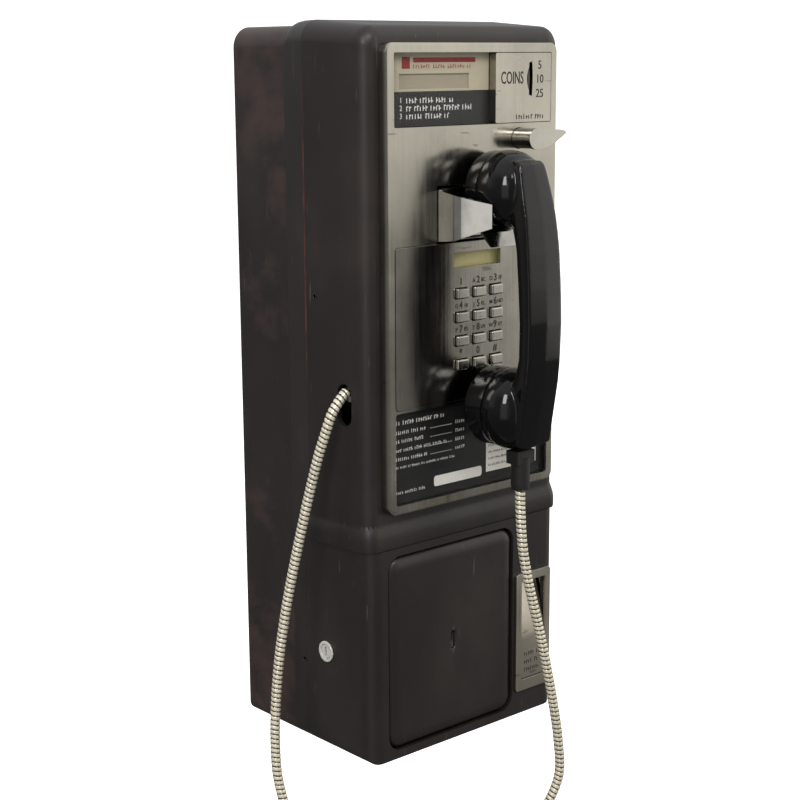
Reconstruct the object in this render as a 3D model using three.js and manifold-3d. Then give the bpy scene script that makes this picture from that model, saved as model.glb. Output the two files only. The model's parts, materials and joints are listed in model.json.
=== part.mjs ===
// Wall-mounted coin payphone: steel housings, stainless front, handset on a chrome cradle, armoured cord.
// Millimetres. X to the right as seen by the caller, Y into the wall, Z up. The origin is the middle of
// the back face that lies against the wall.
import * as THREE from 'three';
import { mergeVertices } from 'three/addons/utils/BufferGeometryUtils.js';
import Module from 'manifold-3d';

const wasm = await Module();
wasm.setup();

// ---- driving dimensions ----
const GAP = 0.3;
const WALL = 3.5;

const HOUSING = {
  halfWidth: 96.85,
  halfHeight: 266.7,
  topRadius: 15,
  bottomRadius: 8,
  rearDepth: 60.2,
  lowerRearDepth: 75.5,
  lowerFront: -149.9,
  upperFront: -148,
  ridgeY: -86,
  ridgeHalfWidth: 101,
  ridgeTop: 270.4,
  shoulderY: -137,
  cornerRadius: 12.4,
  seamZ: -103.8,
  beltTop: -84,
  beltBulge: 2.6,
};

const FACE = { halfWidth: 83.9, top: 254.4, bottom: -77.2, front: -156.7, sheet: 2.5, radius: 7 };
const WINDOW = { halfWidth: 77, top: 247.4, bottom: 196.9 };
const LOWER_WINDOW = { top: -3, bottom: -70.4 };
const COIN_PLATE = { left: 20, right: 77, top: 246.9, bottom: 197.4 };
const COIN_SLOT = { x: 55.4, z: 228.4, height: 26, width: 2.8, left: 51.8, right: 57.8, recess: 4 };
const KEYPAD = { halfWidth: 77, top: 114.6, bottom: -0.8, front: -157.3 };
const KEY = { columns: [-14.5, 2.7, 20.1], topRow: 77.6, pitch: 17.3, width: 11.2, height: 7.4, proud: 3 };
const NUMBER_WINDOW = { left: -22.4, right: 25, bottom: 96.3, top: 107 };

const HANDSET_X = 8;
const EAR = { z: 152, radius: 27, face: -163, seam: -176 };
const MOUTH = { z: -5, radius: 29.5, face: -165.5, seam: -184 };
const HANDLE = { width: 34 };
const BOOT = { y: -196.5, top: -34.5, bottom: -64.2, radius: 7.1, blockHalf: 8.8, blockDepth: 5.8 };

const HOOK = { left: -36.5, right: 52.5, bottom: 116.5, top: 153.6, front: -157.2, sheet: 2.5 };
const HOOK_PIN = { y: -146, z: 150, radius: 2 };
const HOOK_OPENING = { left: -37.3, right: 53.3, top: 155.6 };

const RELEASE = { x: 43.7, z: 186, radius: 7.3, end: -175.3, blade: 2.8, tip: 75 };

const DOOR = { left: -78.8, right: 48, top: -110.9, bottom: -259.3, front: -150.8, back: -140, radius: 11 };
const DOOR_LOCK = { x: -15.4, z: -187, radius: 9, keyhole: 2.5, keyholeHeight: 14.4, front: -147.4 };
const COIN_BOX = { left: -74, right: 43, front: -138.5, back: -32, bottom: -258, top: -152, sheet: 1.6 };
const RETURN = { left: 50.9, right: 88.6, top: -150.4, bottom: -247.2, front: -152 };
const FLAP = { left: 57.2, right: 82.6, top: -157.6, bottom: -237.4, front: -151.4, sheet: 1.6 };
const FLAP_PIN = { y: -140.2, z: -159.8, radius: 1.6 };
const SIDE_LOCK = { y: -99.5, z: -189.7, radius: 8, plug: 5.2 };
const GLAND = { y: -125, z: 11.4, radius: 7.5, outer: -93.6, inner: -84 };
const CORD_HOLE = { halfWidth: 7.2, bottom: -13, top: 17.5 };

const CORD_DIAMETER = 7.4;
const CORD_ROUTE = [
  [-96.2, -125, 11.6], [-100.5, -125, 8.2], [-105.2, -124.9, 3.2], [-109.4, -124.3, -3.2],
  [-113, -121.4, -17], [-116.4, -117.3, -34], [-120.5, -111, -63], [-125.2, -105.4, -95], [-129.6, -101, -124],
  [-134, -97.7, -153], [-138.3, -95.6, -184], [-142, -95, -218], [-144.5, -96.2, -248],
  [-145, -99.8, -278], [-140.5, -106, -305], [-129.5, -115.5, -330], [-111.5, -128, -350],
  [-88, -143.5, -362.5], [-62, -160, -366.5], [-36, -176, -363], [-12, -190.5, -352],
  [9, -202.5, -335], [25, -210.5, -314], [34.5, -214.5, -290], [34.2, -213.5, -262],
  [29.8, -211, -228], [24.8, -208.3, -198], [20, -205.5, -171.5], [15.5, -203.3, -151],
  [11.4, -201, -129.5], [8.6, -199, -108], [7.8, -197.8, -90], [8, -196.7, -75], [8, -196.5, -64.6],
];

// ---- finishes ----
const finish = (color, roughness, metalness) => ({ color, roughness, metalness });
const BLACK_PAINT = finish(0x211f1f, 0.45, 0.2);
const STAINLESS = finish(0xb0aca2, 0.32, 1);
const CHROME = finish(0xd6d6d6, 0.08, 1);
const ZINC = finish(0x9a9b9a, 0.5, 0.9);
const BRASS = finish(0xb08d4a, 0.4, 1);
const HANDSET_PLASTIC = finish(0x131314, 0.2, 0);
const DARK_PLASTIC = finish(0x262624, 0.6, 0);
const CARD_CREAM = finish(0xd9d3bc, 0.6, 0);
const CARD_BLACK = finish(0x121212, 0.5, 0);
const CARD_OLIVE = finish(0x9c935a, 0.6, 0);
const CLEAR = finish(0xdfe3e0, 0.1, 0);
const BOARD_GREEN = finish(0x2f4a2c, 0.6, 0);

// ---- solids: booleans by manifold-3d on three.js geometries ----
function toSolid(geometry) {
  const bare = geometry.clone();
  bare.deleteAttribute('normal');
  bare.deleteAttribute('uv');
  const merged = mergeVertices(bare, 1e-4);
  const vertProperties = new Float32Array(merged.attributes.position.array);
  const triVerts = new Uint32Array(merged.index.array);
  return new wasm.Manifold(new wasm.Mesh({ numProp: 3, vertProperties, triVerts }));
}

function toGeometry(solid) {
  const mesh = solid.getMesh();
  const geometry = new THREE.BufferGeometry();
  geometry.setAttribute('position', new THREE.BufferAttribute(mesh.vertProperties, 3));
  geometry.setIndex(new THREE.BufferAttribute(mesh.triVerts, 1));
  geometry.computeVertexNormals();
  return geometry;
}

const join = (first, ...others) => others.reduce((sum, other) => sum.add(other), first);
const cut = (first, ...others) => others.reduce((rest, other) => rest.subtract(other), first);
const meet = (first, ...others) => others.reduce((common, other) => common.intersect(other), first);

function box(x0, x1, y0, y1, z0, z1) {
  const geometry = new THREE.BoxGeometry(x1 - x0, y1 - y0, z1 - z0);
  return toSolid(geometry.translate((x0 + x1) / 2, (y0 + y1) / 2, (z0 + z1) / 2));
}

const flat = (depth) => ({ depth, bevelEnabled: false, curveSegments: 6 });

// An outline drawn in X and Y, standing from z0 up to z1.
function prismZ(shape, z0, z1, options = {}) {
  const geometry = new THREE.ExtrudeGeometry(shape, { ...flat(z1 - z0), ...options });
  return toSolid(geometry.translate(0, 0, z0));
}

// An outline drawn in X and Z, running from y0 (front) back to y1.
function prismY(shape, y0, y1, options = {}) {
  const geometry = new THREE.ExtrudeGeometry(shape, { ...flat(y1 - y0), ...options });
  return toSolid(geometry.rotateX(Math.PI / 2).translate(0, y1, 0));
}

// An outline drawn in Y and Z, running from x0 across to x1.
function prismX(shape, x0, x1, options = {}) {
  const geometry = new THREE.ExtrudeGeometry(shape, { ...flat(x1 - x0), ...options });
  return toSolid(geometry.rotateX(Math.PI / 2).rotateZ(Math.PI / 2).translate(x0, 0, 0));
}

// A rectangle with its own radius at the top and the bottom corners.
function roundedRectangle(x0, x1, z0, z1, top, bottom = top) {
  const shape = new THREE.Shape();
  shape.moveTo(x0 + bottom, z0);
  shape.lineTo(x1 - bottom, z0);
  shape.absarc(x1 - bottom, z0 + bottom, bottom, -Math.PI / 2, 0, false);
  shape.absarc(x1 - top, z1 - top, top, 0, Math.PI / 2, false);
  shape.absarc(x0 + top, z1 - top, top, Math.PI / 2, Math.PI, false);
  shape.absarc(x0 + bottom, z0 + bottom, bottom, Math.PI, 1.5 * Math.PI, false);
  return shape;
}

const polygon = (points) => new THREE.Shape(points.map(([a, b]) => new THREE.Vector2(a, b)));

// A turned body about a line parallel to Y; the profile holds [radius, y] pairs that start and end at radius 0.
function turnedY(profile, x, z, segments = 24) {
  const points = profile.map(([radius, y]) => new THREE.Vector2(radius, y));
  return toSolid(new THREE.LatheGeometry(points, segments).translate(x, 0, z));
}

const rodY = (radius, x, z, y0, y1, segments = 20) =>
  turnedY([[0, y0], [radius, y0], [radius, y1], [0, y1]], x, z, segments);

function rodX(radius, y, z, x0, x1, segments = 20) {
  const geometry = new THREE.CylinderGeometry(radius, radius, x1 - x0, segments);
  return toSolid(geometry.rotateZ(Math.PI / 2).translate((x0 + x1) / 2, y, z));
}

// ---- scene graph ----
const payphone = new THREE.Group();
payphone.name = 'payphone';

function section(name) {
  const group = new THREE.Group();
  group.name = name;
  payphone.add(group);
  return group;
}

function place(group, name, solid, look) {
  const mesh = new THREE.Mesh(toGeometry(solid), new THREE.MeshStandardMaterial(look));
  mesh.name = name;
  group.add(mesh);
}

// ---- housings ----
const BOLT_PLACES = [[-66, -214], [66, -214], [-66, 222], [66, 222]];

function wallPlate() {
  const inset = WALL + 0.5;
  const side = HOUSING.halfWidth - inset;
  const top = HOUSING.halfHeight - inset;
  const outline = roundedRectangle(-side, side, -top, top, HOUSING.topRadius - WALL, 3.5);
  const plate = prismY(outline, -3, 0);
  const cableHole = rodY(15, 0, -60, -4, 1);
  const boltHoles = BOLT_PLACES.map(([x, z]) => rodY(4.6, x, z, -4, 1));
  return cut(plate, cableHole, ...boltHoles);
}

function mountingBolt(x, z) {
  const head = rodY(8, x, z, -8.5, -3 - GAP);
  return join(head, rodY(4, x, z, -4, -0.4));
}

function rearHousing() {
  const { halfWidth: w, halfHeight: h, topRadius, bottomRadius, rearDepth, lowerRearDepth, seamZ } = HOUSING;
  const outside = roundedRectangle(-w, w, -h, h, topRadius, bottomRadius);
  const inside = roundedRectangle(-w + WALL, w - WALL, -h + WALL, h - WALL, topRadius - WALL, bottomRadius - WALL);
  const tall = prismY(outside, -rearDepth, 0);
  const low = meet(prismY(outside, -lowerRearDepth, -rearDepth + 1), box(-w, w, -80, 0, -h, seamZ - GAP));
  return cut(join(tall, low), prismY(inside, -lowerRearDepth - 1, 1));
}

// Plan of the upper housing: it swells to a ridge, runs forward and rounds into the front.
function upperPlan(inset, front) {
  const { halfWidth, ridgeHalfWidth, ridgeY, shoulderY, rearDepth } = HOUSING;
  const radius = HOUSING.upperFront - shoulderY;
  const corner = Math.abs(radius);
  const frontWidth = halfWidth + 0.4 - inset;
  const half = [[halfWidth - inset, -rearDepth - GAP], [ridgeHalfWidth - inset, ridgeY], [frontWidth, shoulderY]];
  for (let step = 1; step <= 5; step += 1) {
    const angle = (step / 5) * (Math.PI / 2);
    half.push([frontWidth - corner * (1 - Math.cos(angle)), shoulderY - (shoulderY - front) * Math.sin(angle)]);
  }
  const mirrored = half.map(([x, y]) => [-x, y]).reverse();
  return polygon([...half.reverse(), ...mirrored.reverse()].map(([x, y]) => [x, y]));
}

// Sections of the upper housing, from the groove at the back to the rounded front: depth, half width, top, radius.
function upperSections(front) {
  const { halfWidth, halfHeight, topRadius, ridgeHalfWidth, ridgeTop, ridgeY, shoulderY, rearDepth } = HOUSING;
  const start = -rearDepth - GAP;
  const collar = [[start, 0], [-62.5, 0.5], [-66, 0.77], [-72, 0.95], [ridgeY, 1]];
  const sections = collar.map(([y, rise]) => {
    const share = (y - start) / (ridgeY - start);
    const half = halfWidth + share * (ridgeHalfWidth - halfWidth);
    return [y, half, halfHeight + rise * (ridgeTop - halfHeight), topRadius];
  });
  const steps = 6;
  for (let step = 0; step <= steps; step += 1) {
    const angle = (step / steps) * (Math.PI / 2);
    const fall = 1 - Math.cos(angle);
    const y = shoulderY + (front - shoulderY) * Math.sin(angle);
    sections.push([y, halfWidth + 0.4 - 11 * fall, halfHeight - 0.4 - 10.5 * fall, 13.5 - 7 * fall]);
  }
  return sections;
}

function upperBlock(inset, front) {
  const floor = inset === 0 ? HOUSING.seamZ + GAP : HOUSING.seamZ - 5;
  const slices = upperSections(front).map(([y, half, top, radius]) => {
    const side = half - inset;
    return prismY(roundedRectangle(-side, side, -130, top - inset, Math.max(radius - inset, 1), 0.5), y, y + 0.01);
  });
  const bands = slices.slice(1).map((slice, index) => wasm.Manifold.hull([slices[index], slice]));
  return meet(join(...bands), box(-110, 110, -160, -50, floor, 280));
}

function belt() {
  const { seamZ, beltTop, beltBulge, upperFront } = HOUSING;
  const levels = [[seamZ + GAP, 0.9], [-101.5, 1], [-95, 1], [-91, 0.78], [-87.5, 0.4], [beltTop, 0]];
  const slices = levels.map(([z, share]) => {
    const bulge = share * beltBulge;
    return prismZ(upperPlan(-bulge, upperFront - bulge), z, z + 0.01);
  });
  const bands = slices.slice(1).map((slice, index) => wasm.Manifold.hull([slices[index], slice]));
  return meet(join(...bands), box(-120, 120, -160, HOUSING.ridgeY, -130, 0));
}

function upperHousing() {
  const { upperFront, seamZ } = HOUSING;
  const shell = join(upperBlock(0, upperFront), belt());
  const room = upperBlock(WALL, upperFront + 4);
  const backDoorway = meet(upperBlock(WALL, upperFront + 4), box(-110, 110, -75, -50, -130, 280));
  const frontOpening = box(-78, 78, -170, -140, -71, 248.5);
  const { halfWidth: hole, bottom: holeBottom, top: holeTop } = CORD_HOLE;
  const holeOutline = roundedRectangle(GLAND.y - hole, GLAND.y + hole, holeBottom, holeTop, hole - 0.05);
  const cordHole = prismX(holeOutline, -110, -80);
  const floorCut = box(-HOUSING.halfWidth + WALL, HOUSING.halfWidth - WALL, -144, -55, seamZ - 8, seamZ + 8);
  const rearCut = backDoorway.translate([0, 12, 0]);
  return cut(shell, room, rearCut, frontOpening, cordHole, floorCut);
}

function lowerPlan(inset) {
  const { halfWidth, lowerRearDepth, lowerFront, cornerRadius } = HOUSING;
  const side = halfWidth - inset;
  const radius = cornerRadius - inset;
  const shape = new THREE.Shape();
  shape.moveTo(side, -lowerRearDepth - GAP);
  shape.lineTo(-side, -lowerRearDepth - GAP);
  shape.absarc(-side + radius, lowerFront + inset + radius, radius, Math.PI, 1.5 * Math.PI, false);
  shape.absarc(side - radius, lowerFront + inset + radius, radius, 1.5 * Math.PI, 2 * Math.PI, false);
  return shape;
}

function lowerHousing() {
  const { halfHeight, seamZ, halfWidth, lowerRearDepth, lowerFront } = HOUSING;
  const wall = 4;
  const face = roundedRectangle(-halfWidth, halfWidth, -halfHeight, 0, 1, HOUSING.bottomRadius);
  const shell = meet(prismZ(lowerPlan(0), -halfHeight, seamZ - GAP), prismY(face, -160, -70));
  const room = prismZ(lowerPlan(wall), -halfHeight + wall, seamZ + 10);
  const backDoorway = box(-halfWidth + wall, halfWidth - wall, -90, -lowerRearDepth + 1, -halfHeight + wall, 0);
  const partition = box(48.8, 51.8, lowerFront + 2, -lowerRearDepth - 2, -halfHeight + 2, seamZ - 4);
  const { left, right, top, bottom, radius } = DOOR;
  const doorway = roundedRectangle(left - 0.9, right + 0.7, bottom - 0.9, top + 0.9, radius + 0.9);
  const returnHole = roundedRectangle(FLAP.left - 1, FLAP.right + 1, FLAP.bottom - 1, FLAP.top + 1, 2);
  const lockHole = rodX(SIDE_LOCK.radius - 1 + GAP, SIDE_LOCK.y, SIDE_LOCK.z, -110, -85);
  return cut(
    join(cut(shell, room, backDoorway), partition),
    prismY(doorway, -170, -100).intersect(box(left - 2, right + 0.75, -170, -120, bottom - 2, top + 2)),
    prismY(returnHole, -170, -130),
    lockHole,
  );
}

// ---- stainless front ----
function faceplate() {
  const { halfWidth: w, top, bottom, front, sheet, radius } = FACE;
  const rim = 1.6;
  const outline = roundedRectangle(-w + rim, w - rim, bottom + rim, top - rim, radius - rim);
  const bevel = { bevelEnabled: true, bevelSize: rim, bevelThickness: rim, bevelSegments: 2, curveSegments: 4 };
  const back = HOUSING.upperFront - GAP;
  const tray = prismY(outline, front + rim, back + rim, bevel).intersect(box(-w, w, front - 1, back, bottom, top));
  const inner = roundedRectangle(-w + sheet, w - sheet, bottom + sheet, top - sheet, radius - sheet);
  const upperWindow = roundedRectangle(-WINDOW.halfWidth, 77.4, WINDOW.bottom, WINDOW.top, 1.2);
  const lowerWindow = roundedRectangle(-77, 77, LOWER_WINDOW.bottom, LOWER_WINDOW.top, 2);
  const keypadOpening = roundedRectangle(-77.4, 77.4, KEYPAD.bottom - GAP, KEYPAD.top + GAP, 3);
  return cut(
    tray,
    prismY(inner, front + sheet, back + 1),
    prismY(upperWindow, front - 1, back),
    prismY(lowerWindow, front - 1, back),
    prismY(keypadOpening, front - 1, back),
    box(HOOK_OPENING.left, HOOK_OPENING.right, front - 1, back, KEYPAD.top - 2, HOOK_OPENING.top),
    rodY(RELEASE.radius + 0.5, RELEASE.x, RELEASE.z, front - 1, back),
  );
}

function coinPlate() {
  const { left, right, top, bottom } = COIN_PLATE;
  const block = prismY(roundedRectangle(left, right, bottom, top, 1), FACE.front, -149.2);
  const { x, z, height, width, left: bulge, right: straight, recess } = COIN_SLOT;
  const half = height / 2;
  const throat = roundedRectangle(x - width / 2, x + width / 2, z - half + 1, z + half - 1, 1.3);
  const slot = prismY(throat, -165, -140);
  const lens = new THREE.Shape();
  lens.moveTo(straight - 0.8, z + half);
  lens.quadraticCurveTo(2 * bulge - straight + 0.8, z, straight - 0.8, z - half);
  lens.quadraticCurveTo(straight + 0.8, z, straight - 0.8, z + half);
  return cut(block, slot, prismY(lens, FACE.front - 1, FACE.front + recess, { curveSegments: 12 }));
}

function coinThroat() {
  const { x, z } = COIN_SLOT;
  const body = box(x - 7, x + 7, -148.8, -110, z - 17, z + 16);
  return cut(body, box(x - 1.6, x + 1.6, -150, -109, z - 13.5, z + 13.5));
}

// A coin falls down the runway, then left to the coin box or right to the return.
function coinValidator() {
  const body = box(31, 76, -109.4, -40, 60, 210.8);
  const runway = box(50, 60, -104, -46, 96, 212);
  const crossing = box(34, 60, -104, -70, 84, 100);
  const boxOutlet = box(34, 44, -104, -70, 50, 90);
  const returnCrossing = box(58, 74, -104, -94, 96, 110);
  const returnOutlet = box(64, 74, -104, -94, 50, 100);
  return cut(body, runway, crossing, boxOutlet, returnCrossing, returnOutlet);
}

function coinDropTube() {
  const tube = box(30, 47.4, -106, -68, -101, 59.6);
  return cut(tube, box(31.5, 45.9, -104.5, -69.5, -102, 61));
}

function coinReturnChute() {
  const outer = polygon([[57, -151.6], [83, -151.6], [77.5, 59.6], [60, 59.6]]);
  const inner = polygon([[58.4, -152.6], [81.6, -152.6], [76.1, 60.6], [61.4, 60.6]]);
  return cut(prismY(outer, -114, -92.4), prismY(inner, -112.6, -93.8));
}

// Clear panes and printed cards lie behind the openings of the front.
function pane(left, right, bottom, top, front, thickness) {
  return box(left, right, front, front + thickness, bottom, top);
}

function creamCard() {
  const card = pane(-80, 19.4, 221, 250.5, -149.9, 0.8);
  return cut(card, box(-66.5, 0, -152, -147, 222.6, 233));
}

function keypadPlate() {
  const { halfWidth: w, top, bottom, front } = KEYPAD;
  const plate = prismY(roundedRectangle(-w, w, bottom, top, 2.8), front, -153);
  const { width, height } = KEY;
  const keyHoles = keyCentres().map(([x, z]) =>
    box(x - width / 2 - 0.5, x + width / 2 + 0.5, -160, -150, z - height / 2 - 0.5, z + height / 2 + 0.5));
  const { left, right, bottom: low, top: high } = NUMBER_WINDOW;
  return cut(plate, ...keyHoles, box(left, right, -160, -150, low, high));
}

function keyCentres() {
  const centres = [];
  for (let row = 0; row < 4; row += 1) {
    for (const x of KEY.columns) {
      centres.push([x, KEY.topRow - row * KEY.pitch]);
    }
  }
  return centres;
}

function key(x, z) {
  const { width, height, proud } = KEY;
  const chamfer = 0.7;
  const cap = roundedRectangle(
    x - width / 2 + chamfer, x + width / 2 - chamfer, z - height / 2 + chamfer, z + height / 2 - chamfer, 0.5);
  const bevel = { bevelEnabled: true, bevelSize: chamfer, bevelThickness: chamfer, bevelSegments: 1, curveSegments: 2 };
  const front = KEYPAD.front - proud;
  return prismY(cap, front + chamfer, -148.8, bevel);
}

function keypadBoard() {
  const board = box(-32, 38, -145.4, -143.8, 16, 92);
  return join(board, box(-20, 26, -144, -138, 30, 80));
}

// ---- chrome cradle hook ----
// The arms run forward and inward from the plate, lying flat first and then bending towards the tips.
const HOOK_ARM = [
  { x: 0, y: -157.2, inX: 2.5, inY: 0, low: 116.5, high: 152.6 },
  { x: 1.7, y: -169.5, inX: 2.5, inY: 0.4, low: 117.4, high: 149.9 },
  { x: 2.6, y: -173, inX: 2.4, inY: 0.8, low: 118.6, high: 149.1 },
  { x: 4.3, y: -176.2, inX: 2.2, inY: 1.2, low: 120, high: 148.3 },
  { x: 6.7, y: -179.2, inX: 2, inY: 1.5, low: 121.2, high: 147.4 },
  { x: 9.2, y: -182.4, inX: 1.8, inY: 1.7, low: 122.6, high: 146.4 },
  { x: 17.6, y: -193, inX: 1.6, inY: 1.6, low: 127, high: 143.6 },
];

function hookArm() {
  const { left, front, sheet } = HOOK;
  const outer = [[left, front + sheet], ...HOOK_ARM.map(({ x, y }) => [left + x, y])];
  const inner = [[left + sheet, front + sheet], ...HOOK_ARM.map(({ x, y, inX, inY }) => [left + x + inX, y + inY])];
  const plan = prismZ(polygon([...outer, ...inner.reverse()].reverse()), 100, 160);
  const lower = HOOK_ARM.map(({ y, low }) => [y, low]);
  const upper = HOOK_ARM.map(({ y, high }) => [y, high]).reverse();
  const side = polygon([[front + sheet, 116.5], ...lower, ...upper, [front + sheet, 152.6]]);
  return meet(plan, prismX(side, -60, 60));
}

function hookCradle() {
  const { left, right, bottom, top, front, sheet } = HOOK;
  const middle = (left + right) / 2;
  const backPlate = prismY(roundedRectangle(left, right, bottom, top, 3, 1), front, front + sheet);
  const leftArm = hookArm();
  const rightArm = leftArm.mirror([1, 0, 0]).translate([2 * middle, 0, 0]);
  const webSide = polygon([[-156.8, 116.6], [-156.8, 119], [-184, 125.4], [-185, 123]]);
  const webPlan = polygon([
    [left + 1, -155], [right - 1, -155], [right - 1, -158], [right - 3.4, -170], [right - 7.8, -178.4],
    [right - 15, -185.5], [left + 15, -185.5], [left + 7.8, -178.4], [left + 3.4, -170], [left + 1, -158],
  ]);
  const web = meet(prismX(webSide, left, right), prismZ(webPlan, 100, 140));
  const lipFace = polygon([[middle - 27, 125], [middle - 15.5, 112], [middle + 15.5, 112], [middle + 27, 125]]);
  const lip = prismY(lipFace, -182, -179.8);
  const gussetSide = polygon([[-181.8, 112], [-180, 112], [-168, 121.6], [-181.8, 125]]);
  const gussets = [-15.5, 13.5].map((x) => prismX(gussetSide.clone(), middle + x, middle + x + 2));
  const stem = box(-2, 18, front + sheet - 0.2, HOOK_PIN.y + 4, HOOK_PIN.z - 4, HOOK_PIN.z + 3.2);
  const bore = rodX(HOOK_PIN.radius + 0.35, HOOK_PIN.y, HOOK_PIN.z, -10, 30, 24);
  return cut(join(backPlate, leftArm, rightArm, web, lip, ...gussets, stem), bore);
}

function hookBracket() {
  const cheeks = [-8, 21].map((x) => box(x, x + 3, -151.8, -130, 138, 164));
  const roof = box(-8, 24, -153.9, -130, 162, 165);
  const flange = box(-8, 24, -153.9, -151.6, 162, 176);
  const back = box(-8, 24, -132.4, -130, 138, 164);
  const bore = rodX(HOOK_PIN.radius + GAP, HOOK_PIN.y, HOOK_PIN.z, -12, 30, 24);
  return cut(join(...cheeks, roof, flange, back), bore);
}

function hookSwitch() {
  return join(box(-4, 20, -129.6, -116, 136, 160), box(4, 12, -117, -111, 142, 156));
}

// ---- coin release ----
function releaseLever() {
  const { x, z, radius, end, blade, tip } = RELEASE;
  const hub = rodY(radius, x, z, end + blade - 0.2, -142, 28);
  const leaf = new THREE.Shape();
  leaf.absarc(x, z, radius + 0.3, 0.5 * Math.PI, 1.45 * Math.PI, false);
  leaf.quadraticCurveTo(x + 13, z - 8.2, tip - 9, z - 1.5);
  leaf.quadraticCurveTo(tip - 3, z + 1.5, tip, z + 3.6);
  leaf.quadraticCurveTo(tip - 2, z + 5.6, tip - 8, z + 6);
  return join(hub, prismY(leaf, end, end + blade));
}

// ---- handset ----
// Side outline of the handle, from the receiver end down to the mouthpiece end.
const HANDLE_OUTER = [
  [-197, 178.2], [-204, 177], [-206.4, 173], [-209, 161], [-212, 147], [-215.7, 131], [-218.2, 110], [-220.2, 85],
  [-221.2, 60], [-220, 32], [-216.4, 4], [-212.7, -14], [-210.6, -30.4], [-207, -32.2], [-199, -34.2],
];
const HANDLE_INNER = [
  [-187, -33], [-189, -10], [-197, 8], [-204, 22], [-207.8, 38], [-207.6, 72], [-205.4, 98],
  [-203.6, 116], [-198, 128], [-190, 138], [-184, 172],
];
// Half width of the handle at each height.
const HANDLE_WIDTHS = [[13, 180], [13.4, 172], [15, 155], [16.4, 125], [17, 100], [17, -36]];

// Each cup flows from its round seam into the handle's end.
function cup(z, radius, seam, handleEnd) {
  const rings = [[radius, 0, 5], [radius - 0.7, 5, 9], [radius - 2.8, 9, 15]];
  const discs = rings.map(([r, from, to]) => rodY(r, HANDSET_X, z, seam - to, seam - from, 36));
  return wasm.Manifold.hull([...discs, handleEnd]);
}

function capsulePocket(z, radius, face, depth) {
  return rodY(radius, HANDSET_X, z, face - depth, face + 1, 28);
}

function handsetBody() {
  const half = HANDLE.width / 2;
  const bevel = { bevelEnabled: true, bevelSize: 1.2, bevelThickness: 1.2, bevelOffset: -1.2, bevelSegments: 1 };
  const outline = polygon([...HANDLE_OUTER, ...HANDLE_INNER]);
  const right = HANDLE_WIDTHS.map(([w, z]) => [HANDSET_X + w, z]);
  const left = HANDLE_WIDTHS.map(([w, z]) => [HANDSET_X - w, z]).reverse();
  const straight = prismX(outline, HANDSET_X - half + 1.2, HANDSET_X + half - 1.2, bevel);
  const handle = meet(straight, prismY(polygon([...right, ...left].reverse()), -240, -170));
  const ear = cup(EAR.z, EAR.radius, EAR.seam - GAP, meet(handle, box(-40, 60, -240, -198, 134, 190)));
  const mouth = cup(MOUTH.z, MOUTH.radius, MOUTH.seam - GAP, meet(handle, box(-40, 60, -240, -200, -40, 16)));
  const trim = box(-40, 60, -240, EAR.seam - GAP, 60, 190);
  const trimLow = box(-40, 60, -240, MOUTH.seam - GAP, BOOT.top, 60);
  const body = join(meet(join(handle, ear), trim), meet(join(handle, mouth), trimLow));
  return cut(
    body,
    capsulePocket(EAR.z, 19, EAR.seam, 8),
    capsulePocket(MOUTH.z, 21, MOUTH.seam, 8),
  );
}

function handsetCap({ z, radius, face, seam }) {
  const outer = [
    [0, seam], [radius - 0.2, seam], [radius, seam + 3], [radius, face - 4], [radius - 1.2, face - 1.4],
    [radius - 4.5, face], [radius - 9, face - 0.6], [0, face - 1.6],
  ];
  const cap = turnedY(outer, HANDSET_X, z, 36);
  const hollow = rodY(radius - 3.5, HANDSET_X, z, seam - 1, face - 5, 28);
  const soundHoles = [0, 1, 2, 3, 4, 5].map((step) => {
    const angle = (step * Math.PI) / 3;
    return rodY(1.4, HANDSET_X + 7 * Math.cos(angle), z + 7 * Math.sin(angle), face - 8, face + 1, 8);
  });
  return cut(cap, hollow, ...soundHoles);
}

function capsule({ z, radius, face, seam }) {
  return turnedY(
    [[0, seam - 6], [15, seam - 6], [15, seam + 1.5], [radius - 4.4, seam + 1.5], [radius - 4.4, face - 6.4],
      [0, face - 6.4]],
    HANDSET_X, z, 24);
}

function cordBoot() {
  const { y, top, bottom, radius, blockHalf, blockDepth } = BOOT;
  const block = box(
    HANDSET_X - blockHalf, HANDSET_X + blockHalf, y - blockDepth, y + blockDepth, top - 10, top - GAP);
  const points = [[0, bottom], [radius - 0.8, bottom], [radius, bottom + 4], [radius, top - 6], [0, top - 6]];
  const sleeve = new THREE.LatheGeometry(points.map(([r, z]) => new THREE.Vector2(r, z)), 20);
  return join(block, toSolid(sleeve.rotateX(Math.PI / 2).translate(HANDSET_X, y, 0)));
}

// ---- armoured cord ----
function cordGland() {
  const { y, z, radius, outer, inner } = GLAND;
  return join(rodX(radius, y, z, outer, inner, 24), rodX(radius + 2, y, z, inner - 4, inner, 6));
}

function armoredCord() {
  const curve = new THREE.CatmullRomCurve3(CORD_ROUTE.map((point) => new THREE.Vector3(...point)));
  const ring = new THREE.Shape();
  ring.absarc(0, 0, CORD_DIAMETER / 2, 0, 2 * Math.PI, false);
  const options = { steps: 44, extrudePath: curve, bevelEnabled: false, curveSegments: 10 };
  return toSolid(new THREE.ExtrudeGeometry(ring, options));
}

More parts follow.
